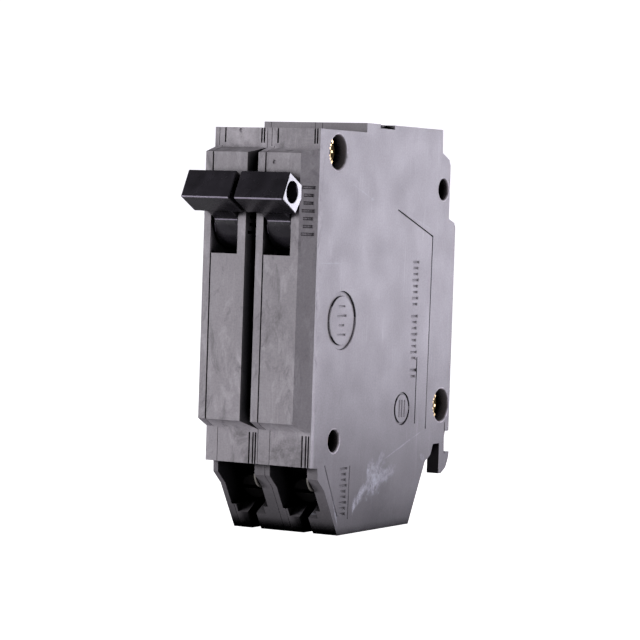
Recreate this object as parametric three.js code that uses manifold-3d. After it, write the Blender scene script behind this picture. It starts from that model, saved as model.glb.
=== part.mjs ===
// Two-pole plug-in circuit breaker: two identical moulded poles, each half an inch wide, riveted side by side,
// with their toggles tied by one pin. Millimetres. +X runs across the poles, +Y from the toggles to the panel,
// +Z from the wire terminals up to the line end. The origin is the middle of the footprint, on the base.
import * as THREE from "three";
import { mergeVertices } from "three/addons/utils/BufferGeometryUtils.js";
import Module from "manifold-3d";

const wasm = await Module();
wasm.setup();

// ---- driving dimensions ----
const POLE = 12.7; // width of one pole, and the distance between poles
const SKIN = 0.05; // each pole stops this far inside its own space
const FRONT = -25.8; // Y of the two end blocks' front plane; depths below are counted from it
const RAISE = 3.5; // how far the escutcheon stands in front of the end blocks
const TOP = 87; // height of the case
const DEPTH = 63; // depth of the case behind the front plane
const COVER = 1.7; // thickness of the cover half of each pole
const WALL = 1.8; // thickness of the moulded walls
const INNER = 11.1; // where the base half's own side wall begins
const GAP = 0.1; // moulding clearance between pieces that meet
const STEPS = 20; // sides of a drawn circle

// toggle: pivot, throw and section
const PIVOT = [3.4, 65.9]; // depth and height of the toggle's axis
const ON_TILT = 27; // the toggle points this far up from straight out
const DRUM_R = 6.3;
const NECK = [2.05, 8.05]; // across the pole
const HEAD = [-0.65, 10.95];
const HEAD_HALF = 3.2;
const HEAD_OUT = 15.6; // from the axis to the head's outer face
const TIE_AT = 12.75; // from the axis to the tie pin
const TIE_R = 2.0;
const CRANK = 5.2; // from the axis to the contact arm's pin
const WINDOW = { x: [COVER, 8.3], h: [58.65, 73.05] };

// contact arm at rest, with the contacts shut
const ARM = { x: [4.35, 5.75], tilt: -20, length: 34, half: 1.9 };
const CONTACT_X = [3.3, 6.8];

// trip mechanism
const CRADLE = { x: [8.9, 10.1], pivot: [40, 68], hook: [15.8, 61.6] };
const SPRING_X = 7.5;
const ARM_HOOK_AT = 27; // from the arm's pin to its spring post
const ARMATURE_PIVOT = [17.3, 30];
const TRIP_BAR = [22.5, 47];

// rivets: depth, height, counterbore radius
const RIVETS = {
  top_front: [7.9, 80.4, 3.64],
  top_back: [56.6, 73.8, 2.36],
  bottom_back: [58.7, 25.6, 3.64],
  bottom_front: [9.8, 20.1, 2.36],
};
const RIVET_R = 1.5;
const BORE_R = 1.65;
const SEAT = { cover: 0.9, base: 3.2 }; // depth of the counterbores in each half

// wire terminal: middle of its mouth in the slanted face, and the way in
const MOUTH = [7.2, 8.3];
const MOUTH_IN = Math.atan2(0.534, 0.845);
const MOUTH_X = [1.2, 10.2];

const rad = (degrees) => (degrees * Math.PI) / 180;
const polar = ([d, h], r, degrees) => [d + r * Math.cos(rad(degrees)), h + r * Math.sin(rad(degrees))];

// ---- solids ----
function solid(geometry) {
  const bare = geometry.index ? geometry.toNonIndexed() : geometry.clone();
  bare.deleteAttribute("normal");
  bare.deleteAttribute("uv");
  const merged = mergeVertices(bare, 1e-4);
  return new wasm.Manifold(
    new wasm.Mesh({
      numProp: 3,
      vertProperties: merged.attributes.position.array,
      triVerts: new Uint32Array(merged.index.array),
    }),
  );
}

function geometryOf(made) {
  const { numProp, numVert, vertProperties, triVerts } = made.getMesh();
  const position = new Float32Array(numVert * 3);
  for (let i = 0; i < numVert; i++) {
    position.set(vertProperties.subarray(i * numProp, i * numProp + 3), i * 3);
  }
  const indexed = new THREE.BufferGeometry();
  indexed.setAttribute("position", new THREE.BufferAttribute(position, 3));
  indexed.setIndex(new THREE.BufferAttribute(triVerts, 1));
  const flat = indexed.toNonIndexed();
  flat.computeVertexNormals();
  return flat;
}

const join = (first, ...others) => others.reduce((sum, each) => sum.add(each), first);
const cut = (first, ...others) => others.reduce((rest, each) => rest.subtract(each), first);

// A profile of [depth, height] points, as a solid from x0 to x1 across the pole.
const ACROSS = new THREE.Matrix4().makeBasis(
  new THREE.Vector3(0, 1, 0),
  new THREE.Vector3(0, 0, 1),
  new THREE.Vector3(1, 0, 0),
);
function plate(profile, [x0, x1], holes = []) {
  const vectors = (points) => points.map(([d, h]) => new THREE.Vector2(d, h));
  const shape = new THREE.Shape(vectors(profile));
  shape.holes = holes.map((hole) => new THREE.Path(vectors(hole)));
  const geometry = new THREE.ExtrudeGeometry(shape, { depth: x1 - x0, bevelEnabled: false });
  geometry.applyMatrix4(ACROSS);
  geometry.translate(x0, FRONT, 0);
  return solid(geometry);
}

function circle([d, h], r, steps = STEPS) {
  return Array.from({ length: steps }, (_, i) => polar([d, h], r, (360 * i) / steps));
}

// Every post, bore and pin in the mechanism lies across the pole.
const rod = (centre, r, span, steps = STEPS) => plate(circle(centre, r, steps), span);

// A box by its ranges across the pole, in depth and in height.
const block = (x, [d0, d1], [h0, h1]) =>
  plate(
    [
      [d0, h0],
      [d1, h0],
      [d1, h1],
      [d0, h1],
    ],
    x,
  );

// A straight bar in the profile plane, from one point to another, with round ends where it has a radius there.
function bar(from, to, half, span) {
  const tilt = (Math.atan2(to[1] - from[1], to[0] - from[0]) * 180) / Math.PI;
  const end = (centre, start) =>
    Array.from({ length: 9 }, (_, i) => polar(centre, half, tilt + start + (180 * i) / 8));
  return plate([...end(to, -90), ...end(from, 90)], span);
}

// Points given as [along, aside] from an origin, where along runs at a tilt in the profile plane.
const tilted = (origin, degrees) => (points) =>
  points.map(([along, aside]) => polar(polar(origin, along, degrees), aside, degrees + 90));

const rectangle = (a0, a1, b0, b1) => [
  [a0, b0],
  [a1, b0],
  [a1, b1],
  [a0, b1],
];

// ---- the moulded case ----
const OUTLINE = [
  [0, 15],
  [3.2, 14.7],
  [3.3, 12.4],
  [6.4, 9.8],
  [12.6, 0],
  [44.6, 0],
  [51.9, 13.4],
  [54.4, 14.6],
  [55.5, 17],
  [58.5, 17],
  [61.2, 19.6],
  [DEPTH, 19.6],
  [DEPTH, 65.4],
  [62.4, 66.4],
  [59.6, 67.3],
  [59.6, 79.2],
  [58.9, 80.5],
  [55.6, 81.9],
  [55.3, TOP],
  [20, TOP],
  [20, 85],
  [0, 85],
];
const HOLLOW = [
  [WALL, 17.2],
  [24.5, 17.2],
  [24.5, WALL],
  [43.6, WALL],
  [50.4, 14.9],
  [54, 18.8],
  [61.2, 21.6],
  [61.2, 64.4],
  [57.8, 65.6],
  [57.8, 78.9],
  [53.7, 80.6],
  [53.5, TOP - WALL],
  [21.8, TOP - WALL],
  [21.8, 82.8],
  [WALL, 82.8],
  [WALL, 79.2],
  [WALL - RAISE, 78],
  [WALL - RAISE, 25.8],
  [WALL, 24.2],
];
const HOOK = [
  [58.5, 17.1],
  [58.5, 10.2],
  [59.9, 10.2],
  [62, 11.4],
  [63.1, 13.2],
  [63.5, 14.9],
  [61.2, 15.1],
  [61.2, 19.7],
];

// The escutcheon: square to the cover side, chamfered back to the case on the base side.
function escutcheon() {
  const face = [
    [0.5, 22],
    [-RAISE, 24],
    [-RAISE, 79.8],
    [0.5, 81],
  ];
  const chamfer = [
    [10.15, -RAISE],
    [12.65, 0],
    [12.65, -RAISE - 1],
    [10.15, -RAISE - 1],
  ];
  const shape = new THREE.Shape(chamfer.map(([x, d]) => new THREE.Vector2(x, FRONT + d)));
  const wedge = new THREE.ExtrudeGeometry(shape, { depth: TOP, bevelEnabled: false });
  return cut(plate(face, [SKIN, POLE - SKIN]), solid(wedge));
}

// The wire pocket behind the slanted face, its mouth, and the notch that the wire lies in.
function wirePocket() {
  const pocket = [
    [2, 15.2],
    [18.2, 15.3],
    [21.4, 10.45],
    [10.4, 3.5],
    [7.6, 2.1],
    [2, 8],
  ];
  const notch = [
    [2, -1],
    [16, -1],
    [16, 7.2],
    [2, 7.2],
  ];
  const corner = 2.2; // the mouth's lower corners are rounded
  const [x0, x1] = MOUTH_X;
  const fillet = (x) => [x, x + corner];
  const lip = [
    [8, 5],
    [12, 5.4],
    [13, 4.6],
    [9, 2],
  ];
  return join(
    cut(plate(pocket, MOUTH_X), plate(lip, [x0 - 1, x0 + corner / 2]), plate(lip, [x1 - corner / 2, x1 + 1])),
    plate(notch, fillet((x0 + x1) / 2 - corner / 2)),
    block([3.8, 8.6], [13.3, 15.1], [15, 17.6]),
  );
}

function jawSlot() {
  return block([3.2, 9.2], [60, DEPTH + 1], [50.4, 64.2]);
}

function rivetSeats() {
  const spans = { cover: [-1, SKIN + SEAT.cover], base: [POLE - SKIN - SEAT.base, POLE + 1] };
  const posts = Object.values(RIVETS).map(([d, h, r]) => rod([d, h], r + 1, [SKIN + 0.5, POLE - SKIN - 0.5]));
  const bores = Object.values(RIVETS).map(([d, h, r]) =>
    join(rod([d, h], BORE_R, [-1, POLE + 1]), rod([d, h], r, spans.cover), rod([d, h], r, spans.base)),
  );
  return { posts: join(...posts), bores: join(...bores) };
}

// The whole moulding of one pole, before it is split into cover and base.
function moulding() {
  const outer = join(
    plate(OUTLINE, [SKIN, POLE - SKIN]),
    escutcheon(),
    plate(HOOK, [9.75, POLE - SKIN]),
    plate(HOOK, [SKIN, 2.6]),
  );
  const { posts, bores } = rivetSeats();
  const posted = join(cut(outer, plate(HOLLOW, [COVER, INNER])), posts.intersect(outer));
  return cut(
    posted,
    bores,
    block(WINDOW.x, [-RAISE - 1, WALL - RAISE + 0.2], WINDOW.h),
    rod(PIVOT, 2.0, [0.75, INNER + 0.75]),
    rod(CRADLE.pivot, 1.15, [0.75, INNER + 0.75]),
    rod(ARMATURE_PIVOT, 0.95, [0.75, INNER + 0.75], 12),
    rod(TRIP_BAR, 1.9, [-1, POLE + 1]),
    wirePocket(),
    jawSlot(),
    block([10.4, POLE], [26, 32.4], [TOP - 0.9, TOP + 1]),
  );
}

// Everything on the cover's side of the parting surface, which steps in at the front of the two end blocks.
function coverSide(grow) {
  const top = 1.05 + grow;
  const bottom = 2.8 + grow;
  const whole = block([-2, COVER + grow], [-20, 80], [-5, 100]);
  return join(
    cut(whole, block([top, 5], [-1, 1.6], [81.2, 100])),
    block([-2, bottom], [-1, 1.6 + grow], [14, 22.2]),
    block([-2, 2.6 + grow], [55.4, 70], [5, 17.1]),
  );
}

// The outer wall of the right-hand pole has no neighbour to pass the trip bar to, so its hole is plugged.
function caseHalves(isRightPole) {
  const plug = isRightPole
    ? rod(TRIP_BAR, 2.4, [INNER + 0.6, POLE - SKIN])
    : rod(TRIP_BAR, 2.4, [SKIN, COVER - 0.6]);
  const whole = join(moulding(), plug);
  const base = largest(cut(whole, coverSide(GAP)));
  const cover = largest(whole.intersect(coverSide(0)));
  return { base, cover };
}

// Splitting along a stepped surface can leave crumbs behind the steps; the piece is the largest body.
function largest(made) {
  return made.decompose().reduce((best, each) => (each.volume() > best.volume() ? each : best));
}

// ---- toggle ----
const toggleFrame = tilted(PIVOT, 180 - ON_TILT);

function toggle() {
  const head = toggleFrame([
    [9.3, HEAD_HALF],
    [8.55, -0.6],
    [9.95, -HEAD_HALF],
    [HEAD_OUT, -HEAD_HALF],
    [HEAD_OUT, HEAD_HALF],
  ]);
  const tie = polar(PIVOT, TIE_AT, 180 - ON_TILT);
  const crank = polar(PIVOT, CRANK, -ON_TILT);
  const body = join(
    rod(PIVOT, DRUM_R, NECK, 40),
    plate(toggleFrame(rectangle(3, 10.5, -2.9, 2.9)), NECK),
    plate(head, HEAD),
    rod(PIVOT, 1.85, [0.9, INNER + 0.6]),
  );
  return cut(
    body,
    rod(tie, TIE_R + 0.2, [-3, POLE + 3]),
    rod(crank, 0.9, [NECK[0] + 0.4, NECK[1] - 0.4], 12),
    plate(toggleFrame(rectangle(-9, -2.4, -9, 9)), [4.1, 6.0]),
  );
}

const tiePin = () => rod(polar(PIVOT, TIE_AT, 180 - ON_TILT), TIE_R, [-11.6, 9.2]);

// ---- contact arm and contacts ----
const armPin = polar(PIVOT, CRANK, -ON_TILT);
const armFrame = tilted(armPin, ARM.tilt);

function contactArm() {
  const outline = armFrame([
    [0, -ARM.half],
    [18, -2.6],
    [ARM.length - 1, -1.6],
    [ARM.length, -0.6],
    [ARM.length, 1.4],
    [18, 2.4],
    [0, ARM.half],
    [-1.5, 1.1],
    [-1.5, -1.1],
  ]);
  const post = polar(armPin, ARM_HOOK_AT, ARM.tilt);
  return join(cut(plate(outline, ARM.x), rod(armPin, 0.95, [0, POLE], 12)), rod(post, 0.6, [ARM.x[1] - 0.5, 8.6], 10));
}
const contactArmPin = () => rod(armPin, 0.75, [NECK[0] + 0.55, NECK[1] - 0.55], 12);
const movingContact = () => plate(armFrame(rectangle(29.6, 33.8, 1.75, 2.9)), CONTACT_X);
const fixedContact = () => plate(armFrame(rectangle(29.2, 34.2, 3, 4.1)), CONTACT_X);

// Copper strap from the fixed contact back to the plug-on jaw.
function lineStrap() {
  const tip = armFrame(rectangle(28.8, 34.6, 4.2, 5.6));
  return plate(
    [tip[0], tip[1], [48.6, 54.9], [48.6, 52], [50, 52], [50, 62.4], [48.6, 62.4], [48.6, 56.3], tip[2], tip[3]],
    [3.4, 8.4],
  );
}

// Spring jaw: two fingers that pinch a bus stab between them, joined at their root.
function jaw() {
  const finger = (side) => {
    const shape = new THREE.Shape();
    const x = (across) => 6.2 + side * across;
    const points = [
      [x(2.3), 50.1],
      [x(0.7), 57],
      [x(0.7), 59.4],
      [x(2), 62.6],
      [x(2.7), 62.4],
      [x(1.5), 59.2],
      [x(1.5), 57.2],
      [x(3.0), 50.1],
    ];
    shape.setFromPoints(points.map(([a, d]) => new THREE.Vector2(a, FRONT + d)));
    const geometry = new THREE.ExtrudeGeometry(shape, { depth: 11, bevelEnabled: false });
    geometry.translate(0, 0, 51.8);
    return solid(geometry);
  };
  return join(finger(1), finger(-1), block([3.4, 9], [50.1, 51], [51.8, 62.8]));
}

// Steel splitter plates in two fibre side walls.
function arcChute() {
  const walls = [
    block([2.0, 2.7], [40.6, 52.4], [33.8, 49.6]),
    block([9.9, 10.6], [40.6, 52.4], [33.8, 49.6]),
  ];
  const plates = [0, 1, 2, 3, 4].map((i) =>
    cut(
      block([2.6, 10], [42, 52], [35.2 + 3 * i, 36.2 + 3 * i]),
      block([4.3, 8.3], [41, 45.4], [35 + 3 * i, 36.4 + 3 * i]),
    ),
  );
  return join(...walls, ...plates);
}

// ---- trip mechanism ----
function cradle() {
  const { pivot, hook, x } = CRADLE;
  const lever = plate(
    [
      [41.6, 65.9],
      [42.6, 68.6],
      [40.6, 70.6],
      [37.4, 70.2],
      [24, 66.2],
      [15, 63.6],
      [14.2, 61.8],
      [15.4, 60.2],
      [18.1, 59.6],
      [18.1, 54.9],
      [20, 54.9],
      [21.2, 60.2],
      [38, 65.4],
    ],
    x,
  );
  return join(cut(lever, rod(pivot, 1.15, [0, POLE], 16)), rod(hook, 0.6, [6.4, x[0] + 0.4], 10));
}
const cradlePin = () => rod(CRADLE.pivot, 0.95, [1, INNER + 0.6], 16);

class Coil extends THREE.Curve {
  constructor(from, to, radius, turns) {
    super();
    Object.assign(this, { from, to, radius, turns });
    this.axis = new THREE.Vector3().subVectors(to, from).normalize();
    this.side = new THREE.Vector3(1, 0, 0);
    this.up = new THREE.Vector3().crossVectors(this.axis, this.side);
  }
  getPoint(t, target = new THREE.Vector3()) {
    const angle = 2 * Math.PI * this.turns * t;
    return target
      .lerpVectors(this.from, this.to, t)
      .addScaledVector(this.side, this.radius * Math.cos(angle))
      .addScaledVector(this.up, this.radius * Math.sin(angle));
  }
}

function wire(curve, r, sides, steps) {
  const section = new THREE.Shape(
    Array.from({ length: sides }, (_, i) => {
      const angle = (2 * Math.PI * i) / sides;
      return new THREE.Vector2(r * Math.cos(angle), r * Math.sin(angle));
    }),
  );
  return solid(new THREE.ExtrudeGeometry(section, { steps, extrudePath: curve, bevelEnabled: false }));
}

// Extension spring between the cradle's post and the contact arm's post.
function toggleSpring() {
  const point = ([d, h]) => new THREE.Vector3(SPRING_X, FRONT + d, h);
  const from = point(CRADLE.hook);
  const to = point(polar(armPin, ARM_HOOK_AT, ARM.tilt));
  const along = new THREE.Vector3().subVectors(to, from).normalize();
  const inset = 1.5; // the coil begins clear of the posts
  from.addScaledVector(along, inset);
  to.addScaledVector(along, -inset);
  return wire(new Coil(from, to, 0.85, 8), 0.22, 5, 64);
}

const bimetal = () => block([4.4, 8.0], [12.6, 13.4], [24, 54]);

function magnetYoke() {
  return join(
    block([2.6, 9.8], [9.2, 10.4], [34, 46]),
    block([2.6, 3.8], [10, 16], [34, 46]),
    block([8.6, 9.8], [10, 16], [34, 46]),
  );
}

function armature() {
  const [d, h] = ARMATURE_PIVOT;
  return join(
    block([3.9, 9.8], [d - 0.5, d + 0.5], [h - 1, 50]),
    block([8.6, 10.2], [d - 0.5, d + 0.5], [49, 54.6]),
    rod(ARMATURE_PIVOT, 0.75, [0.9, INNER + 0.6], 12),
  );
}

function tripBar() {
  const finger = (x) => bar([TRIP_BAR[0] - 0.6, TRIP_BAR[1]], [19.3, 49.6], 0.6, [x, x + 1.4]);
  return join(rod(TRIP_BAR, 1.25, [-10.6, 11], 16), finger(8.2), finger(8.2 - POLE));
}

// Woven copper lead from the bimetal round to the contact arm.
function braid() {
  const route = [
    [13.4, 51],
    [15.4, 48.9],
    [18.2, 45.6],
    [22.2, 42.8],
    [26.4, 45],
    [28, 50],
    [27.2, 54.4],
  ].map(([d, h]) => new THREE.Vector3(2.9, FRONT + d, h));
  return wire(new THREE.CatmullRomCurve3(route), 0.75, 8, 18);
}

// ---- wire terminal ----
const mouthFrame = tilted(MOUTH, (MOUTH_IN * 180) / Math.PI);
const SCREW_LINE = -1.4; // the screw's axis lies this far below the middle of the mouth
const PLATE_X = [2, 9.4];
const SCREW_X = (PLATE_X[0] + PLATE_X[1]) / 2;

// A turned piece along the terminal's way in, from [inward, radius] points.
function turned(profile, steps = STEPS) {
  const geometry = new THREE.LatheGeometry(
    profile.map(([s, r]) => new THREE.Vector2(r, s)),
    steps,
  );
  const inward = new THREE.Vector3(0, Math.cos(MOUTH_IN), Math.sin(MOUTH_IN));
  const [d, h] = mouthFrame([[0, SCREW_LINE]])[0];
  geometry.applyQuaternion(new THREE.Quaternion().setFromUnitVectors(new THREE.Vector3(0, 1, 0), inward));
  geometry.translate(SCREW_X, FRONT + d, h);
  return solid(geometry);
}

function terminalScrew() {
  const screw = turned([
    [3.4, 0],
    [3.4, 2.7],
    [3.8, 3.1],
    [5.4, 3.1],
    [5.4, 1.6],
    [11.3, 1.6],
    [11.9, 1],
    [11.9, 0],
  ]);
  return cut(screw, plate(mouthFrame(rectangle(3, 4.5, SCREW_LINE - 0.45, SCREW_LINE + 0.45)), [0, POLE]));
}

const shankHole = () =>
  turned([
    [2, 0],
    [2, 1.9],
    [14, 1.9],
    [14, 0],
  ]);

const wireClamp = () => cut(plate(mouthFrame(rectangle(5.7, 6.9, -4.2, 3)), PLATE_X), shankHole());

// Load strap: the clamp's seat, then a riser that carries the bimetal.
function loadStrap() {
  const seat = plate(mouthFrame(rectangle(9.2, 10.4, -4.6, 1.6)), PLATE_X);
  const riser = plate(
    [
      [13.6, 14.4],
      [14.8, 13.4],
      [14.8, 30],
      [13.6, 30],
    ],
    [4, 8.4],
  );
  return cut(join(seat, riser), shankHole(), lengthwiseRod(1.35, [12, 19]));
}

// A round piece that runs in depth, on the calibration screw's line.
function lengthwiseRod(r, [d0, d1]) {
  const geometry = new THREE.CylinderGeometry(r, r, d1 - d0, 16);
  geometry.translate(6.2, FRONT + (d0 + d1) / 2, 26.5);
  return solid(geometry);
}

function calibrationScrew() {
  const slot = block([5.9, 6.5], [17.9, 19], [20, 30]);
  return cut(join(lengthwiseRod(1.15, [13.7, 17.2]), lengthwiseRod(1.9, [17, 18.6])), slot);
}

// ---- rivets, through both poles: one head on the left cover, the other deep in the right base ----
function rivet([d, h, r]) {
  const headR = Math.min(r - 0.35, 2.5);
  const left = SKIN + SEAT.cover - POLE;
  const right = POLE - SKIN - SEAT.base;
  const thick = 0.8;
  const hollow = 1.5; // each end is drilled this deep
  const body = join(
    rod([d, h], RIVET_R, [left - thick / 2, right + thick / 2], 20),
    rod([d, h], headR, [right + GAP, right + thick]),
    rod([d, h], headR, [left - thick, left - GAP]),
  );
  return cut(body, rod([d, h], 0.9, [right - hollow, POLE], 16), rod([d, h], 0.9, [-POLE, left + hollow], 16));
}

// ---- materials ----
const finish = (color, roughness, metalness) => new THREE.MeshStandardMaterial({ color, roughness, metalness });
const materials = {
  phenolic: finish(0x55525a, 0.5, 0),
  toggle: finish(0x1c1a20, 0.38, 0),
  brass: finish(0xc8a04a, 0.35, 1),
  steel: finish(0x9b9ca0, 0.4, 1),
  copper: finish(0xb36b45, 0.4, 1),
  silver: finish(0xd9d9d6, 0.3, 1),
  fibre: finish(0x7d4a36, 0.8, 0),
  blacknylon: finish(0x17171a, 0.5, 0),
};

const breaker = new THREE.Group();

function add(parent, name, made, material) {
  const mesh = new THREE.Mesh(geometryOf(made), materials[material]);
  mesh.name = name;
  parent.add(mesh);
}

// ---- one pole ----
function pole(side) {
  const group = new THREE.Group();
  group.position.x = side === "right" ? 0 : -POLE;
  const { base, cover } = caseHalves(side === "right");
  const pieces = {
    case_base: [base, "phenolic"],
    case_cover: [cover, "phenolic"],
    toggle: [toggle(), "toggle"],
    contact_arm: [contactArm(), "copper"],
    contact_arm_pin: [contactArmPin(), "steel"],
    moving_contact: [movingContact(), "silver"],
    fixed_contact: [fixedContact(), "silver"],
    line_strap: [lineStrap(), "copper"],
    line_jaw: [jaw(), "copper"],
    arc_chute: [arcChute(), "fibre"],
    trip_cradle: [cradle(), "steel"],
    cradle_pin: [cradlePin(), "steel"],
    toggle_spring: [toggleSpring(), "steel"],
    bimetal: [bimetal(), "silver"],
    magnet_yoke: [magnetYoke(), "steel"],
    armature: [armature(), "steel"],
    flexible_braid: [braid(), "copper"],
    load_strap: [loadStrap(), "copper"],
    terminal_screw: [terminalScrew(), "steel"],
    wire_clamp: [wireClamp(), "steel"],
    calibration_screw: [calibrationScrew(), "brass"],
  };
  for (const [name, [made, material]] of Object.entries(pieces)) {
    add(group, `${name}_${side}`, made, material);
  }
  return group;
}

for (const side of ["left", "right"]) {
  breaker.add(pole(side));
}
for (const [place, seat] of Object.entries(RIVETS)) {
  add(breaker, `rivet_${place}`, rivet(seat), "brass");
}
add(breaker, "toggle_tie_pin", tiePin(), "steel");
add(breaker, "common_trip_bar", tripBar(), "blacknylon");

export default breaker;
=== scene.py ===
# Looks of the two-pole plug-in circuit breaker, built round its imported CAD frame. Metres, in the CAD's frame.
import math

import bmesh
import bpy
from mathutils import Matrix, Vector


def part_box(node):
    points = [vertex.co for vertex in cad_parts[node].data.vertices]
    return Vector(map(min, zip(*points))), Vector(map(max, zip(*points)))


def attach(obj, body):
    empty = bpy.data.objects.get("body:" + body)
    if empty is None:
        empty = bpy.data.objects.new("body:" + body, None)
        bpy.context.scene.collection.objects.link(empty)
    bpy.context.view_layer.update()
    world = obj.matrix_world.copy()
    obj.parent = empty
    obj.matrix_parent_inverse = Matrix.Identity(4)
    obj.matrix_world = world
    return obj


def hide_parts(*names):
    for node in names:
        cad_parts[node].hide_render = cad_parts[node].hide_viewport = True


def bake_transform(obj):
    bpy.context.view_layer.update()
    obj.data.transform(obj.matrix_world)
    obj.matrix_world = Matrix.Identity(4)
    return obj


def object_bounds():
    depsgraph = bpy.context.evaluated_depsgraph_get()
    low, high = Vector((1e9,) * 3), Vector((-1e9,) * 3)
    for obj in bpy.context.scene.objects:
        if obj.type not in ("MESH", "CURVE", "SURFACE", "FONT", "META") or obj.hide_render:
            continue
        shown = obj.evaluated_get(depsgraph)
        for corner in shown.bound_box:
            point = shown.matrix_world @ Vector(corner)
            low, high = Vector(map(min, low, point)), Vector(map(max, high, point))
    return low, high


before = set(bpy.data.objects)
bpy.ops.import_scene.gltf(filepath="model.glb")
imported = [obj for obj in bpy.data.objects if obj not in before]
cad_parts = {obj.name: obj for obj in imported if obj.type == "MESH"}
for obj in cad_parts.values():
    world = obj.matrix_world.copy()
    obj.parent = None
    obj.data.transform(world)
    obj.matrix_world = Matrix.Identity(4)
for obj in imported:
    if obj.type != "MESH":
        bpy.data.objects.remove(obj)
cad_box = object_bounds()

MM = 0.001
X, Y, Z = Vector((1, 0, 0)), Vector((0, 1, 0)), Vector((0, 0, 1))
SIDES = ("left", "right")
POLE = 12.7  # mm between poles
POLE_X = {"left": -POLE, "right": 0.0}  # where each pole's own left side is
SKIN = 0.05  # mm from there to the pole's case
OUTER = POLE - SKIN  # mm from the middle to the case's outer sides
RAISE = 3.5  # mm from the end blocks' front plane out to the raised fronts
CHAMFER = 2.5  # mm across, from the raised front back to the side
LARGE_BORE, SMALL_BORE = 3.64, 2.36  # mm, radius of the counterbores that the rivets sit in
BORE_DEPTH = 3.2  # mm in from the case's outer side
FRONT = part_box("case_base_right")[0].y + RAISE * MM  # the end blocks' front plane
collection = bpy.context.scene.collection


def at(x, depth, height):
    """A point given in millimetres: across, behind the end blocks' front plane, and up."""
    return Vector((x * MM, FRONT + depth * MM, height * MM))


RIVETS = {}  # depth, height and counterbore radius of each rivet, in mm
for place, bore in (
    ("top_front", LARGE_BORE),
    ("top_back", SMALL_BORE),
    ("bottom_back", LARGE_BORE),
    ("bottom_front", SMALL_BORE),
):
    axis = sum(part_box(f"rivet_{place}"), Vector()) / 2
    RIVETS[place] = ((axis.y - FRONT) / MM, axis.z / MM, bore)


# ---- materials ----
class Material:
    """A node material. Its calls add nodes, and take numbers or other nodes' outputs as inputs."""

    def __init__(self, name, roughness=0.5, metallic=0.0, ior=1.5):
        self.made = bpy.data.materials.new(name)
        self.made.use_nodes = True
        self.tree = self.made.node_tree
        self.surface = self.tree.nodes["Principled BSDF"]
        self.surface.inputs["Roughness"].default_value = roughness
        self.surface.inputs["Metallic"].default_value = metallic
        self.surface.inputs["IOR"].default_value = ior
        self.place = self.add("ShaderNodeTexCoord").outputs["Object"]

    def add(self, kind, inputs=None, **settings):
        node = self.tree.nodes.new(kind)
        for setting, value in settings.items():
            setattr(node, setting, value)
        for socket, value in (inputs or {}).items():
            if isinstance(value, bpy.types.NodeSocket):
                self.tree.links.new(value, node.inputs[socket])
            else:
                node.inputs[socket].default_value = value
        return node

    def feed(self, socket, source):
        self.tree.links.new(source, self.surface.inputs[socket])

    def stretched(self, scale=(1, 1, 1), turn=(0, 0, 0)):
        inputs = {"Vector": self.place, "Rotation": turn, "Scale": scale}
        return self.add("ShaderNodeMapping", inputs).outputs["Vector"]

    def noise(self, scale, detail=3.0, rough=0.5, vector=None, warp=0.0):
        inputs = {"Scale": scale, "Detail": detail, "Roughness": rough, "Distortion": warp}
        return self.add("ShaderNodeTexNoise", {"Vector": vector or self.place, **inputs}).outputs["Fac"]

    def ramp(self, value, *stops):
        """Maps value through (position, grey level) stops."""
        node = self.add("ShaderNodeValToRGB", {"Fac": value})
        elements = node.color_ramp.elements
        while len(elements) < len(stops):
            elements.new(0.5)
        for element, (position, level) in zip(elements, stops):
            element.position = position
            element.color = (level, level, level, 1)
        return node.outputs["Color"]

    def fade(self, value, full, none):
        """1 where value is at full, falling smoothly to 0 at none."""
        inputs = {"Value": value, "From Min": full, "From Max": none, "To Min": 1.0, "To Max": 0.0}
        return self.add("ShaderNodeMapRange", inputs, interpolation_type="SMOOTHSTEP").outputs[0]

    def math(self, operation, first, second=0.5):
        return self.add("ShaderNodeMath", {0: first, 1: second}, operation=operation).outputs[0]

    def times(self, first, *others):
        for other in others:
            first = self.math("MULTIPLY", first, other)
        return first

    def vector(self, operation, first, second, output="Vector"):
        return self.add("ShaderNodeVectorMath", {0: first, 1: second}, operation=operation).outputs[output]

    def mix(self, factor, first, second, blend="MIX"):
        node = self.add("ShaderNodeMix", data_type="RGBA", blend_type=blend)
        for index, value in ((0, factor), (6, first), (7, second)):
            if isinstance(value, bpy.types.NodeSocket):
                self.tree.links.new(value, node.inputs[index])
            else:
                node.inputs[index].default_value = value
        return node.outputs[2]

    def bump(self, height, distance, strength=1.0, normal=None):
        inputs = {"Height": height, "Distance": distance, "Strength": strength}
        if normal is not None:
            inputs["Normal"] = normal
        return self.add("ShaderNodeBump", inputs).outputs["Normal"]


def grey(level, tint=(1, 1, 1)):
    return tuple(level * t for t in tint) + (1,)


CASE_TINT = (1.0, 0.93, 1.03)
SCUFF = (0.46, 0.46, 0.54, 1)


def scratches(m, turn, scale, low, patch):
    """Fine light scratches that run one way, in patches."""
    thin = m.noise(scale, 2.0, 0.5, m.stretched((1, 1, 0.02), turn))
    line = m.ramp(thin, (low, 0), (low + 0.012, 1), (low + 0.024, 0))
    where = m.ramp(m.noise(patch, 2.0), (0.52, 0), (0.66, 1))
    return m.times(line, where)


def smear(m, centre, reach, tilt=0.0):
    """A ragged smear about a point, of the given reach in mm along each axis, tilted in degrees about X."""
    size = tuple(length * MM for length in reach)
    inputs = {"Vector": m.place, "Location": centre, "Rotation": (math.radians(tilt), 0, 0), "Scale": size}
    local = m.add("ShaderNodeMapping", inputs, vector_type="TEXTURE").outputs["Vector"]
    away = m.vector("LENGTH", local, (0, 0, 0), "Value")
    wobble = m.math("MULTIPLY", m.math("SUBTRACT", m.noise(2.2, 4.0, 0.6, local), 0.5), 1.3)
    inside = m.fade(m.math("ADD", away, wobble), 0.2, 1.15)
    return m.times(inside, m.ramp(m.noise(620, 6.0, 0.75), (0.4, 0.15), (0.6, 1)))


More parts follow.
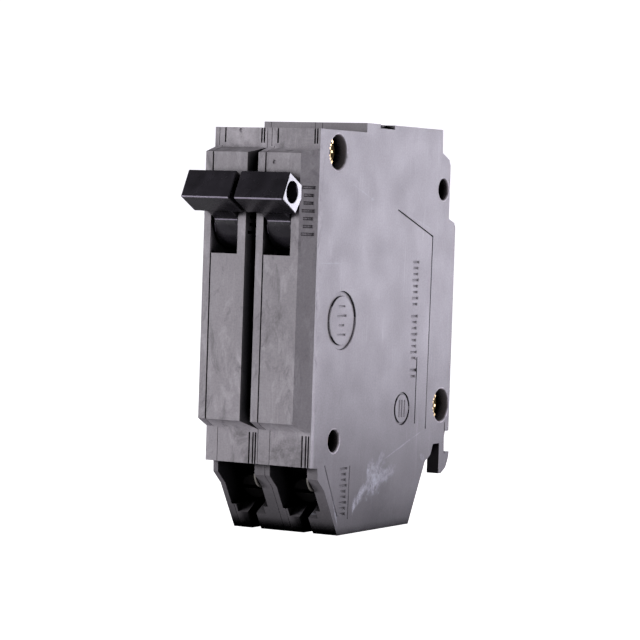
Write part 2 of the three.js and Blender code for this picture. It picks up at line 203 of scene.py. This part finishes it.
def painted_crevice_shade(m):
    """Painted shade from ambient occlusion: 0 deep in a narrow gap or a pocket, 1 out in the open."""
    shade = 1.0
    for reach, dark, light, deep in ((4.5, 0.48, 0.7, 0.0), (14, 0.06, 0.36, 0.12)):
        sky = m.add("ShaderNodeAmbientOcclusion", {"Distance": reach * MM}, samples=8).outputs["AO"]
        shade = m.times(m.ramp(sky, (dark, deep), (light, 1)), shade)
    return shade


def case_plastic(name, level, wear_and_highlight=0.0, marks=(), shaded_in=True):
    """Grey moulded thermoset: mottled in front with a painted sheen, darker towards the bottom, with painted
    shade in its crevices unless that is turned off, and light where worn, which on the rivet rims is also a
    painted highlight.

    marks are (function that draws a mark, strength, colour)."""
    m = Material(name)
    parts = m.add("ShaderNodeSeparateXYZ", {"Vector": m.place}).outputs
    on_fronts = m.ramp(m.fade(parts["Y"], at(0, 0.5, 0).y, at(0, 3, 0).y), (0, 0.16), (1, 1))
    # Colour and gloss get darker towards the bottom, down to 0.16 of their level, except on the fronts.
    uneven = m.math("MULTIPLY", m.math("SUBTRACT", m.noise(45, 3.0), 0.5), 12 * MM)
    height = m.fade(m.math("ADD", parts["Z"], uneven), 48 * MM, -6 * MM)
    bottom_darkening = m.math("MAXIMUM", m.ramp(height, (0, 0.16), (0.22, 0.45), (1, 1)), on_fronts)
    cloud = m.ramp(m.noise(120, 6.0, 0.6, m.stretched((1, 0.5, 0.45)), 0.5), (0.3, 0), (0.7, 1))
    dull = m.mix(cloud, grey(level * 0.93, CASE_TINT), grey(level * 1.05, CASE_TINT))
    # Paler and darker blotches on the fronts only: painted sheen that stands for the wavy reflections on them.
    pale_sheen_blotch = m.ramp(m.noise(210, 6.0, 0.7, m.stretched((1.2, 0.7, 0.5)), 1.0), (0.5, 0), (0.72, 1))
    dark_sheen_blotch = m.ramp(m.noise(230, 6.0, 0.72, m.stretched((1, 1, 0.5)), 0.8), (0.3, 1), (0.48, 0))
    colour = m.mix(m.times(pale_sheen_blotch, on_fronts, 0.6), dull, grey(level * 1.7, CASE_TINT))
    colour = m.mix(m.times(dark_sheen_blotch, on_fronts, 0.9), colour, grey(level * 0.45, CASE_TINT))
    fine = m.ramp(m.noise(2600, 2.0, 0.7), (0.35, 0.86), (0.62, 1.0))
    colour = m.mix(1.0, colour, fine, "MULTIPLY")
    for turn, scale, low, size in (((0.6, 0.2, 0.3), 900, 0.57, 60), ((-0.9, 0.3, 0.1), 1100, 0.59, 80)):
        hairs = scratches(m, turn, scale, low, size)
        colour = m.mix(m.times(hairs, 0.2), colour, grey(level * 2.4, CASE_TINT))
    colour = m.mix(1.0, colour, bottom_darkening, "MULTIPLY")
    for mark, strength, tone in marks:
        colour = m.mix(m.times(mark(m), strength), colour, tone)
    # Lighter in rubbed patches: wear on bevelled edges, and also a painted highlight on the rivet rims.
    if wear_and_highlight:
        rub_and_highlight = m.ramp(m.noise(600, 4.0, 0.65), (0.35, 0.0), (0.7, 1))
        colour = m.mix(m.times(rub_and_highlight, wear_and_highlight), colour, grey(level * 2.6, CASE_TINT))
    gloss = m.times(bottom_darkening, 0.5)
    # Painted shade: colour and gloss darkened by ambient occlusion in crevices and pockets.
    if shaded_in:
        shade = painted_crevice_shade(m)
        colour, gloss = m.mix(1.0, colour, shade, "MULTIPLY"), m.times(gloss, shade)
    m.feed("Base Color", colour)
    m.feed("Specular IOR Level", gloss)
    m.feed("Roughness", m.ramp(m.noise(140, 5.0, 0.6), (0.3, 0.48), (0.7, 0.56)))
    grain = m.bump(m.noise(4200, 2.0, 0.6), 0.00002, 0.3)
    m.feed("Normal", m.bump(m.noise(90, 2.0), 0.0002, 0.12, grain))
    return m.made


def black_plastic(name, wear_and_highlight=0.0, rough=(0.2, 0.32)):
    """Glossy black moulding, faintly clouded and scratched."""
    m = Material(name)
    level, tint = 0.02, (1.0, 0.9, 1.15)
    cloud = m.ramp(m.noise(260, 4.0), (0.35, 0), (0.7, 1))
    colour = m.mix(cloud, grey(level * 0.8, tint), grey(level * 1.5, tint))
    hairs = scratches(m, (0.2, 0.9, 0.4), 1200, 0.58, 90)
    colour = m.mix(m.times(hairs, 0.2), colour, grey(0.1, tint))
    # Lighter patches, which on the toggles' lower front edge are a painted highlight.
    if wear_and_highlight:
        colour = m.mix(m.ramp(m.noise(900, 4.0), (0.3, wear_and_highlight * 0.75), (0.7, wear_and_highlight)), colour, grey(0.45, tint))
    m.feed("Base Color", colour)
    m.feed("Roughness", m.ramp(m.noise(420, 4.0), (0.3, rough[0]), (0.7, rough[1])))
    m.feed("Normal", m.bump(m.noise(2400, 3.0), 0.00002, 0.3))
    return m.made


def metal(name, colour, low=0.22, high=0.42, grain=(1, 1, 0.05), hidden=False):
    """Rolled or turned metal: fine brushing, tarnish in patches, and painted shade, black in its crevices, if
    hidden.
    """
    m = Material(name, metallic=1.0)
    tarnish = m.ramp(m.noise(320, 5.0, 0.65), (0.35, 0), (0.75, 1))
    dull = tuple(c * 0.55 for c in colour[:3]) + (1,)
    shown = m.mix(tarnish, colour, dull)
    m.feed("Base Color", m.mix(1.0, shown, painted_crevice_shade(m), "MULTIPLY") if hidden else shown)
    brushed = m.noise(2600, 2.0, 0.5, m.stretched(grain))
    m.feed("Roughness", m.ramp(m.mix(0.5, brushed, tarnish), (0.3, low), (0.7, high)))
    m.feed("Normal", m.bump(brushed, 0.00003, 0.4))
    return m.made


def fibre_board(name):
    m = Material(name, roughness=0.8)
    cloud = m.noise(500, 6.0, 0.7, m.stretched((1, 1, 0.4)))
    m.feed("Base Color", m.mix(cloud, (0.14, 0.055, 0.035, 1), (0.3, 0.14, 0.09, 1)))
    m.feed("Normal", m.bump(m.noise(3000, 3.0), 0.00004, 0.6))
    return m.made


def woven_copper(name):
    m = Material(name, metallic=1.0)
    inputs = {"Vector": m.place, "Scale": 900.0, "Distortion": 1.5, "Detail": 2.0}
    lines = m.ramp(m.add("ShaderNodeTexWave", inputs).outputs["Fac"], (0.2, 0), (0.8, 1))
    m.feed("Base Color", m.mix(lines, (0.3, 0.12, 0.06, 1), (0.8, 0.42, 0.26, 1)))
    m.feed("Roughness", m.ramp(m.noise(900), (0.3, 0.3), (0.7, 0.5)))
    m.feed("Normal", m.bump(lines, 0.0001, 0.7))
    return m.made


THROUGH = 20  # mm that a mark reaches into the case


def on_side(depth, height, long, wide, tilt):
    """A mark on the case's right-hand side."""
    return lambda m: smear(m, at(OUTER, depth, height), (THROUGH, long, wide), tilt)


def on_front(x, height, wide, tall):
    """A mark on the case's front."""
    return lambda m: smear(m, at(x, 0, height), (wide, THROUGH, tall))


RIGHT_POLE_MARKS = [
    (on_front(6.5, 43, 7, 10), 0.35, grey(0.16, CASE_TINT)),
    (on_front(7.0, 17, 8, 5), 0.8, grey(0.13, CASE_TINT)),
    (on_front(6.5, 83.5, 7, 4), 0.4, grey(0.15, CASE_TINT)),
    (on_side(49.8, 80.8, 3.2, 1.4, 100), 0.3, grey(0.2, CASE_TINT)),
    (on_side(3.6, 72.8, 2.0, 0.8, 110), 0.3, grey(0.2, CASE_TINT)),
    (on_side(40, 8, 18, 6, 10), 0.3, grey(0.17, CASE_TINT)),
    (on_side(18.2, 72.7, 6.5, 0.16, 161), 0.5, SCUFF),
    (on_side(23.4, 70.9, 0.7, 0.5, 0), 0.6, SCUFF),
    (on_side(46, 66.3, 11, 0.14, 165), 0.45, SCUFF),
    (on_side(45, 72.2, 2.4, 0.12, 130), 0.4, SCUFF),
    (on_side(6.4, 57.3, 5.5, 0.14, 0), 0.6, SCUFF),
    (on_side(41.5, 17.7, 11.5, 0.2, 17), 0.6, SCUFF),
    (on_side(31.2, 15.4, 2.2, 1.2, 40), 0.5, SCUFF),
    (on_side(50.4, 14.4, 1.6, 0.8, 150), 0.35, SCUFF),
    (on_side(28.6, 10.8, 5.6, 3.2, 38), 0.95, SCUFF),
    (on_side(26.2, 13.0, 2.6, 1.6, 60), 0.95, SCUFF),
    (on_side(34.0, 11.6, 4.2, 1.6, 20), 0.6, SCUFF),
    (on_side(22.0, 7.8, 4.6, 1.2, 42), 0.95, SCUFF),
    (on_side(19.4, 6.0, 2.2, 0.8, 75), 0.8, SCUFF),
    (on_side(11.3, 5.2, 3.2, 0.5, 110), 0.7, SCUFF),
]

# A paler patch on the left pole's top end block: painted light that offsets the painted crevice shade there.
LEFT_POLE_MARKS = [(on_front(-6.5, 83.5, 5, 4), 0.55, grey(0.6, CASE_TINT))]

CASE_LEVEL = 0.34
case_body = {
    "left": case_plastic("case_plastic_left", CASE_LEVEL, marks=LEFT_POLE_MARKS),
    "right": case_plastic("case_plastic_right", CASE_LEVEL, marks=RIGHT_POLE_MARKS),
}
case_edge = case_plastic("case_plastic_worn", CASE_LEVEL, wear_and_highlight=0.3)
# Painted shade: near-black plastic for faces in the windows, the gap between the poles, the wire pockets and
# the hook slot.
case_shadow = case_plastic("case_plastic_painted_shade", 0.08)
# Painted light: the plastic at 0.85 of its level with no painted crevice shade, for the top step, so it shows
# lighter than the shaded plastic round it.
case_open = case_plastic("case_plastic_open", CASE_LEVEL * 0.85, shaded_in=False)
# The rivet rims: lighter, worn plastic without painted crevice shade, which is also a painted highlight for the
# lit crescents on the rims.
case_rim = case_plastic("case_plastic_rubbed_and_highlit", CASE_LEVEL, wear_and_highlight=0.8, shaded_in=False)
toggle_body = black_plastic("toggle_plastic")
# Painted highlight: lighter black plastic for the toggles' lower front edge.
toggle_edge = black_plastic("toggle_plastic_painted_highlight", wear_and_highlight=0.8)
brass = metal("brass", (0.95, 0.74, 0.36, 1), 0.2, 0.34)
tarnished = metal("tarnished_brass", (0.5, 0.37, 0.18, 1), 0.36, 0.52)
steel = metal("steel", (0.5, 0.5, 0.52, 1))
# Painted shade: near-black steel for the clamp screws, clamp plates and tie pin, which sit in shadow, darker
# still in its crevices.
shade_dark_steel = metal("near_black_steel_painted_shade", (0.014, 0.013, 0.013, 1), 0.45, 0.65, hidden=True)
copper = metal("copper", (0.72, 0.38, 0.23, 1))
plated = metal("tin_plated_copper", (0.66, 0.63, 0.57, 1))
silver = metal("contact_silver", (0.8, 0.79, 0.76, 1), 0.3, 0.5)
bimetal_strip = metal("bimetal", (0.55, 0.52, 0.48, 1), 0.3, 0.45, (1, 0.05, 1))
fibre = fibre_board("fibre")
braided = woven_copper("braided_copper")
nylon = black_plastic("bar_nylon", rough=(0.4, 0.5))


# ---- building pieces ----
BODY, EDGE, RIM, PAINTED_SHADE, OPEN = range(5)  # the materials of a piece's faces, in order


def piece(name, mesh, materials, body, slot, *nodes):
    """Puts a mesh into the scene as a piece that rides on a body and stands for the CAD nodes."""
    obj = bpy.data.objects.new(name, mesh)
    collection.objects.link(obj)
    for material in materials:
        mesh.materials.append(material)
    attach(obj, body)
    if nodes:
        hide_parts(*nodes)
    return obj


def rounded(made, edges, offset, clamp, material):
    bmesh.ops.bevel(
        made,
        geom=edges,
        offset=offset * MM,
        offset_type="OFFSET",
        segments=2,
        profile=0.5,
        affect="EDGES",
        clamp_overlap=clamp,
        material=material,
    )
    made.normal_update()


def on_rim(edge):
    """Whether an edge lies on the rim of a rivet's counterbore, on an outer side of the case."""
    middle = (edge.verts[0].co + edge.verts[1].co) / 2
    if any(abs(abs(v.co.x) - OUTER * MM) > 0.01 * MM for v in edge.verts):
        return False
    rims = ((at(middle.x / MM, depth, height), radius) for depth, height, radius in RIVETS.values())
    return any(abs((middle - centre).length - radius * MM) < 0.12 * MM for centre, radius in rims)


def refined(node, bevel, rim=0.0, clamp=True):
    """A copy of a CAD node's surface with its flat faces merged and its sharp edges rounded, as bmesh.

    bevel and rim are in mm. Edges too short for the bevel stay sharp."""
    flat, sharp = math.radians(2), math.radians(24)
    made = bmesh.new()
    made.from_mesh(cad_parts[node].data)
    bmesh.ops.remove_doubles(made, verts=made.verts, dist=2e-6)
    bmesh.ops.dissolve_limit(made, angle_limit=flat, verts=made.verts, edges=made.edges, delimit=set())
    made.normal_update()
    if rim:
        rounded(made, [edge for edge in made.edges if on_rim(edge)], rim, True, RIM)
    corners = {e for e in made.edges if len(e.link_faces) == 2 and e.calc_face_angle(0) > sharp}
    short = 2.2 * bevel * MM
    roomy = [e for e in corners if all(n.calc_length() > short for v in e.verts for n in v.link_edges)]
    rounded(made, roomy, bevel, clamp, EDGE)
    return made


def mesh_from(made, name):
    mesh = bpy.data.meshes.new(name)
    made.to_mesh(mesh)
    made.free()
    return mesh


def shaded(obj, angle=32):
    """Smooth shading that keeps flat faces flat and edges over the angle crisp."""
    obj.data.shade_smooth()
    obj.data.set_sharp_from_angle(angle=math.radians(angle))
    weighted = obj.modifiers.new("flat faces stay flat", "WEIGHTED_NORMAL")
    weighted.keep_sharp = True
    weighted.weight = 90
    return obj


# ---- engraving ----
class Face:
    """A flat face of the case, on which places are given in millimetres along and up it."""

    def __init__(self, corner, along, up, out):
        self.corner, self.along, self.up, self.out = corner, along, up, out

    def point(self, a, b, lift=0.0):
        return self.corner + (self.along * a + self.up * b + self.out * lift) * MM


def stack(made, loops):
    """Adds a closed solid whose skin runs through loops of points and is capped at both ends."""
    rows = [[made.verts.new(point) for point in loop] for loop in loops]
    for lower, upper in zip(rows, rows[1:]):
        for i in range(len(lower)):
            j = (i + 1) % len(lower)
            made.faces.new((lower[i], lower[j], upper[j], upper[i]))
    made.faces.new(rows[0][::-1])
    made.faces.new(rows[-1])


def line(made, face, start, end, width=0.34, depth=0.26):
    """Adds the cutter of an engraved line from one place on a face to another."""
    (a, b), (end_a, end_b) = start, end
    run = math.hypot(end_a - a, end_b - b)
    ca, cb = (end_a - a) / run, (end_b - b) / run
    loops = []
    for lift, half in ((-depth, width * 0.3), (0.12, width * 0.66)):
        corners = ((-half, -half), (run + half, -half), (run + half, half), (-half, half))
        loops.append([face.point(a + ca * s - cb * t, b + cb * s + ca * t, lift) for s, t in corners])
    stack(made, loops)


def circle(face, centre, radius, lift, steps=48):
    """Points round a circle that lies lift above a face."""
    (a, b), turns = centre, [2 * math.pi * i / steps for i in range(steps)]
    return [face.point(a + radius * math.cos(t), b + radius * math.sin(t), lift) for t in turns]


def pit(made, face, centre, radius):
    """Adds the cutter of a small round pit."""
    rings = ((radius * 0.7, -0.25), (radius * 1.15, 0.1))
    stack(made, [circle(face, centre, size, lift, 20) for size, lift in rings])


def ring(made, face, centre, inner, outer, depth=0.24):
    """Adds the cutter of an engraved band between two circles."""
    section = ((inner + 0.05, -depth), (inner - 0.05, 0.12), (outer + 0.05, 0.12), (outer - 0.05, -depth))
    loops = [[made.verts.new(p) for p in circle(face, centre, radius, lift)] for radius, lift in section]
    for here, there in zip(loops, loops[1:] + loops[:1]):
        for i in range(len(here)):
            j = (i + 1) % len(here)
            made.faces.new((here[i], here[j], there[j], there[i]))


def cut_out(obj, cutter):
    """Cuts a bmesh of closed shapes out of a piece."""
    bmesh.ops.recalc_face_normals(cutter, faces=cutter.faces)
    tool = bpy.data.objects.new("cutter", mesh_from(cutter, "cutter"))
    collection.objects.link(tool)
    modifier = obj.modifiers.new("cut", "BOOLEAN")
    modifier.operation = "DIFFERENCE"
    modifier.solver = "EXACT"
    modifier.use_self = True
    modifier.object = tool
    bpy.context.view_layer.update()
    result = bpy.data.meshes.new_from_object(obj.evaluated_get(bpy.context.evaluated_depsgraph_get()))
    obj.modifiers.clear()
    obj.data = result
    bpy.data.objects.remove(tool)


def dashes(made, face, count, place, step, reach, gaps=()):
    """Adds a column of short strokes of uneven length, which stands where a line of lettering was."""
    for i in range(count):
        if i in gaps:
            continue
        half = reach * (0.36 + 0.1 * math.cos(2.1 * i))
        a, b = place[0] + step[0] * i, place[1] + step[1] * i
        line(made, face, (a - half, b), (a + half, b), 0.62, 0.32)


def side_marks(made):
    """The lines, rings and rows of strokes on the right-hand side of the breaker."""
    face = Face(at(OUTER, 0, 0), Y, Z, X)
    for route in (
        [(35.4, 68.8), (52.0, 63.3), (51.5, 20.8)],
        [(46.3, 36.5), (46.2, 22.2)],
        [(6.3, 15.0), (12.2, 4.2)],
        [(17.1, 14.3), (16.8, 3.4)],
    ):
        for start, end in zip(route, route[1:]):
            line(made, face, start, end)
    ring(made, face, (11.5, 45.3), 5.1, 6.2, 0.42)
    for i, half in enumerate((1.2, 1.7, 0.9, 1.5)):
        line(made, face, (11.5 - half, 48.3 - 2.0 * i), (11.5 + half, 48.3 - 2.0 * i), 0.5, 0.26)
    ring(made, face, (39.9, 25.6), 3.05, 3.6, 0.32)
    for i in (-1, 0, 1):
        line(made, face, (39.9 + 1.2 * i, 24.0), (39.9 + 1.2 * i, 27.2), 0.5, 0.3)
    line(made, face, (60.9, 21.4), (61.2, 14.8), 0.4, 0.3)
    dashes(made, face, 20, (44.4, 57.6), (0.01, -1.32), 2.7, (8, 17))
    dashes(made, face, 9, (14.5, 14.0), (0.0, -1.2), 2.8)


def front_marks(made, x):
    """The grooves on a pole's end blocks, the seam down its raised front, and the strokes on its chamfer."""
    blocks = Face(at(x, 0, 0), X, Z, -Y)
    for across in (0.55, 2.55, 11.35, 11.95):
        line(made, blocks, (across, 82.0), (across, 86.0), 0.32, 0.28)
    for across in (0.8, 10.6, 11.5, 12.1):
        line(made, blocks, (across, 13.0), (across, 21.4), 0.32, 0.28)
    raised, seam = Face(at(x, -RAISE, 0), X, Z, -Y), 1.87
    for low, high in ((22, 58.9), (72.8, 81)):
        line(made, raised, (seam, low), (seam, high), 0.3, 0.22)
    slope = Vector((CHAMFER, RAISE, 0)).normalized()
    chamfer = Face(at(x + OUTER - CHAMFER, -RAISE, 0), slope, Z, slope.cross(Z))
    dashes(made, chamfer, 7, (2.1, 72.8), (0.0, -1.6), 2.6)


def pole_marks(side):
    """All that is engraved in one pole's case base, as one cutter."""
    made = bmesh.new()
    front_marks(made, POLE_X[side])
    if side == "right":
        pit(made, Face(at(0, -RAISE, 0), X, Z, -Y), (3.9, 77.9), 0.45)
        side_marks(made)
    else:
        pit(made, Face(at(-POLE, 0, 0), X, Z, -Y), (6.3, 84.3), 0.5)
    return made


# ---- the moulded case ----
def skin_of(face, side):
    """The material of a face of the case on that side: painted shade, a near-black plastic, in its window
    walls, pole gap, pocket walls and hook slot, and on the top step a copy without painted crevice shade.
    """
    middle, left = face.calc_center_median(), POLE_X[side]

    def within(low, high):
        return all(a < m < b for a, m, b in zip(at(*low), middle, at(*high)))

    window = within((left + 1.6, 0.3 - RAISE, 58.5), (left + 8.4, 12, 73.2))
    gap = side == "left" and within((-CHAMFER, 0.3 - RAISE, 10), (0.1, 0.3, 80))
    mouth = abs(face.normal.x) > 0.7 and within((left + 1, 0.5, 2), (left + 11.8, 24, 13.6))
    hook = face.normal.y < -0.5 and within((-POLE, 52, 8), (POLE, 66, 21.5))
    if window or gap or mouth or hook:
        return PAINTED_SHADE
    # The top step: the copy of the plastic without painted crevice shade.
    if face.normal.y < -0.9 and within((-POLE, 5, 85.5), (POLE, 30, 87.1)):
        return OPEN
    return face.material_index


def moulding(node, side):
    """The piece that stands for a case base or cover."""
    made = refined(node, 0.16, rim=0.4)
    for face in made.faces:
        face.material_index = skin_of(face, side)
    name = node.replace("case", "moulded")
    skins = [case_body[side], case_edge, case_rim, case_shadow, case_open]
    return piece(name, mesh_from(made, name), skins, "case", "moulding", node)


for side in SIDES:
    shaded(moulding(f"case_cover_{side}", side))
    base = moulding(f"case_base_{side}", side)
    cut_out(base, pole_marks(side))
    shaded(base)


# ---- toggles and what shows of the fastenings and terminals ----
def toggle_mesh(node, name):
    """A toggle whose lower front edge alone is painted bright, a painted highlight for the light that edge
    catches.
    """
    made = refined(node, 0.25, clamp=False)
    highlit_facing = Vector((0, -0.95, -0.31))
    for face in made.faces:
        if face.material_index == EDGE and face.normal.dot(highlit_facing) < 0.9:
            face.material_index = BODY
    return mesh_from(made, name)


for side in SIDES:
    node = f"toggle_{side}"
    mesh = toggle_mesh(node, f"handle_{side}")
    shaded(piece(f"handle_{side}", mesh, [toggle_body, toggle_edge], "toggles", "toggle", node))

dark = [shade_dark_steel, shade_dark_steel]
REFINED = {"toggle_tie_pin": ("tie_pin", 0.25, dark, "toggles", "steel")}
for side in SIDES:  # the piece's name, its bevel in mm, its materials, its body and its slot
    REFINED[f"terminal_screw_{side}"] = (f"clamp_screw_{side}", 0.15, dark, f"screw_{side}", "terminal_steel")
    REFINED[f"wire_clamp_{side}"] = (f"clamp_plate_{side}", 0.12, dark, f"clamp_{side}", "terminal_steel")
    REFINED[f"line_jaw_{side}"] = (f"spring_jaw_{side}", 0.1, [plated, plated], "case", "plated_copper")
for node, (name, bevel, materials, body, slot) in REFINED.items():
    shaded(piece(name, mesh_from(refined(node, bevel), name), materials, body, slot, node))


def with_brass(made, draw, *placed):
    """Adds what draw makes to a piece, in the piece's second material."""
    plain = len(made.faces)
    draw(made, *placed)
    made.faces.ensure_lookup_table()
    new = made.faces[plain:]
    bmesh.ops.recalc_face_normals(made, faces=new)
    for face in new:
        face.material_index = EDGE


def crown(made, depth, height, bore):
    """Adds the split rim that stands up along the front of the right-hand head of a tubular rivet."""
    foot = OUTER - BORE_DEPTH + 0.7  # the top of the head
    outer = bore - 0.3
    for i in range(-3, 4):
        middle, half = math.pi + 0.27 * i, 0.11
        rise = 2.0 + 0.25 * math.cos(2.4 * i) + 0.18 * math.cos(1.3 * i)
        rows = []
        for x, thick, spread in ((foot, 0.35, 1), (foot + 0.7 * rise, 0.4, 0.96), (foot + rise, 0.8, 0.85)):
            corners = ((outer - thick, -1), (outer, -1), (outer, 1), (outer - thick, 1))
            turns = [(r, middle + sign * half * spread) for r, sign in corners]
            rows.append([at(x, depth + r * math.cos(t), height + r * math.sin(t)) for r, t in turns])
        stack(made, rows)


for place, (depth, height, bore) in RIVETS.items():
    node, name = f"rivet_{place}", f"tubular_rivet_{place}"
    made = refined(node, 0.15)
    if bore == LARGE_BORE:
        with_brass(made, crown, depth, height, bore)
    shaded(piece(name, mesh_from(made, name), [tarnished, brass], "case", "brass", node), 50)


def lug(made, x):
    """Adds the thin lug that curls down the right-hand wall of a wire pocket."""
    inner, outer, half = x + 9.75, x + 10.12, 0.16
    corners = ((inner, -1), (outer, -1), (outer, 1), (inner, 1))
    turns = [3.25 + 0.25 * i for i in range(8)]
    curl = [Vector((6.9 + 3.0 * math.cos(t), 12.9 + 3.3 * math.sin(t))) for t in turns]
    loops = []
    for here, there in zip(curl, curl[1:] + [2 * curl[-1] - curl[-2]]):
        along = (there - here).normalized() * half
        across = Vector((-along.y, along.x))
        loops.append([at(place, *(here + sign * across)) for place, sign in corners])
    stack(made, loops)


for side in SIDES:
    node, name = f"load_strap_{side}", f"load_terminal_{side}"
    made = refined(node, 0.12)
    for face in made.faces:
        face.material_index = BODY
    with_brass(made, lug, POLE_X[side])
    shaded(piece(name, mesh_from(made, name), [plated, brass], "case", "plated_copper", node))


# ---- the mechanism inside ----
def coil_spring(side):
    """A pole's spring: a steel copy of its CAD node's mesh, left where the CAD places it."""
    node = f"toggle_spring_{side}"
    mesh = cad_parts[node].data.copy()
    mesh.materials.clear()
    mesh.materials.append(steel)
    spring = bpy.data.objects.new(f"coil_spring_{side}", mesh)
    collection.objects.link(spring)
    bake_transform(spring)
    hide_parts(node)
    return spring


for side in SIDES:
    shaded(coil_spring(side), 60)

INSIDE = {  # CAD nodes that show as they are
    "contact_arm": copper,
    "contact_arm_pin": steel,
    "moving_contact": silver,
    "fixed_contact": silver,
    "line_strap": copper,
    "arc_chute": fibre,
    "trip_cradle": steel,
    "cradle_pin": steel,
    "bimetal": bimetal_strip,
    "magnet_yoke": steel,
    "armature": steel,
    "flexible_braid": braided,
    "calibration_screw": brass,
}


def dress(node, material):
    """Gives a CAD node that stays its material and a small bevel."""
    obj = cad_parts[node]
    obj.data.materials.clear()
    obj.data.materials.append(material)
    bevel = obj.modifiers.new("edges", "BEVEL")
    bevel.width = 0.08 * MM
    bevel.segments = 1
    bevel.limit_method = "ANGLE"
    bevel.angle_limit = math.radians(40)


for kind, material in INSIDE.items():
    for side in SIDES:
        dress(f"{kind}_{side}", material)
dress("common_trip_bar", nylon)


# ---- floor, light and camera ----
def studio_floor():
    """A pale floor that shows as near white, and throws no light of its own up at the object."""
    m = Material("floor_paint", roughness=0.7)
    tone = m.mix(m.noise(6, 3.0), (0.9, 0.9, 0.91, 1), (0.93, 0.93, 0.93, 1))
    m.feed("Base Color", tone)
    m.feed("Emission Color", tone)
    m.surface.inputs["Emission Strength"].default_value = 1.2
    made = bmesh.new()
    bmesh.ops.create_grid(made, x_segments=8, y_segments=8, size=40)  # reaches the horizon
    mesh = mesh_from(made, "floor")
    mesh.materials.append(m.made)
    floor = bpy.data.objects.new("floor", mesh)
    floor.location.z = -0.3 * MM
    floor.visible_diffuse = False
    floor.visible_glossy = False
    collection.objects.link(floor)


def softbox(name, toward, distance, size, power, colour=(1, 1, 1), mirrored=True):
    """An area light that faces the middle of the object from a direction.

    Its distance and size are in metres. If it isn't mirrored, it doesn't show in reflections."""
    data = bpy.data.lights.new(name, "AREA")
    data.shape = "RECTANGLE"
    data.size, data.size_y = size
    data.energy = power
    data.color = colour
    lamp = bpy.data.objects.new(name, data)
    collection.objects.link(lamp)
    middle = (cad_box[0] + cad_box[1]) / 2
    direction = Vector(toward).normalized()
    lamp.location = middle + direction * distance
    lamp.rotation_mode = "QUATERNION"
    lamp.rotation_quaternion = direction.to_track_quat("Z", "Y")
    lamp.visible_glossy = mirrored


def white_room(seen, above, below):
    """A world that the camera sees as white.

    It lights the object at one strength from above the horizon, and at another from below."""
    world = bpy.data.worlds.new("studio")
    world.use_nodes = True
    tree = world.node_tree
    background = tree.nodes["Background"]
    background.inputs["Color"].default_value = (0.96, 0.94, 1.0, 1)
    direction = tree.nodes.new("ShaderNodeTexCoord").outputs["Generated"]
    parts = tree.nodes.new("ShaderNodeSeparateXYZ")
    felt = tree.nodes.new("ShaderNodeMapRange")
    felt.inputs["From Min"].default_value = -0.12
    felt.inputs["From Max"].default_value = 0.06
    felt.inputs["To Min"].default_value = below
    felt.inputs["To Max"].default_value = above
    path = tree.nodes.new("ShaderNodeLightPath")
    level = tree.nodes.new("ShaderNodeMapRange")
    level.inputs["To Max"].default_value = seen
    tree.links.new(direction, parts.inputs["Vector"])
    tree.links.new(parts.outputs["Z"], felt.inputs["Value"])
    tree.links.new(felt.outputs["Result"], level.inputs["To Min"])
    tree.links.new(path.outputs["Is Camera Ray"], level.inputs["Value"])
    tree.links.new(level.outputs["Result"], background.inputs["Strength"])
    bpy.context.scene.world = world


bpy.context.scene.view_settings.view_transform = "Standard"
white_room(1.15, 0.06, 0.27)
studio_floor()
softbox("back_right_softbox", (0.49, 0.871, 0.05), 0.85, (0.34, 0.3), 4.3, (0.895, 0.873, 1.0))
for kind, mirrored, right, front_left in (("gloss", True, 0.5, 0.25), ("fill", False, 0.5, 0.75)):
    softbox(f"right_{kind}", (1.0, 0.0, 0.1), 0.85, (0.4, 0.4), 3.9 * right, (0.98, 0.97, 1.0), mirrored)
    softbox(f"front_left_{kind}", (-0.75, -0.75, 0.06), 0.85, (0.4, 0.4), 9.2 * front_left, mirrored=mirrored)

YAW, PITCH, ROLL = (math.radians(angle) for angle in (29.34, 2.14, 1.87))
LENS = 158.9  # mm, on a sensor 36 mm wide
DISTANCE = 611.9  # mm from the camera to the point it is aimed at
AIM = at(0, 28, 43)
SHIFT = (-1.55, 1.57)  # mm right and up from there, which centres the object in the picture
forward = Vector((-math.sin(YAW) * math.cos(PITCH), math.cos(YAW) * math.cos(PITCH), -math.sin(PITCH)))
sideways = Vector((math.cos(YAW), math.sin(YAW), 0))
upright = sideways.cross(forward)
rightward = sideways * math.cos(ROLL) + upright * math.sin(ROLL)
upward = upright * math.cos(ROLL) - sideways * math.sin(ROLL)
camera = bpy.data.objects.new("camera", bpy.data.cameras.new("camera"))
collection.objects.link(camera)
camera.data.sensor_width = 36
camera.data.lens = LENS
camera.data.clip_start = 0.01
stand = AIM + (rightward * SHIFT[0] + upward * SHIFT[1] - forward * DISTANCE) * MM
turned = Matrix((rightward, upward, -forward)).transposed().to_4x4()
camera.matrix_world = Matrix.Translation(stand) @ turned
bpy.context.scene.camera = camera
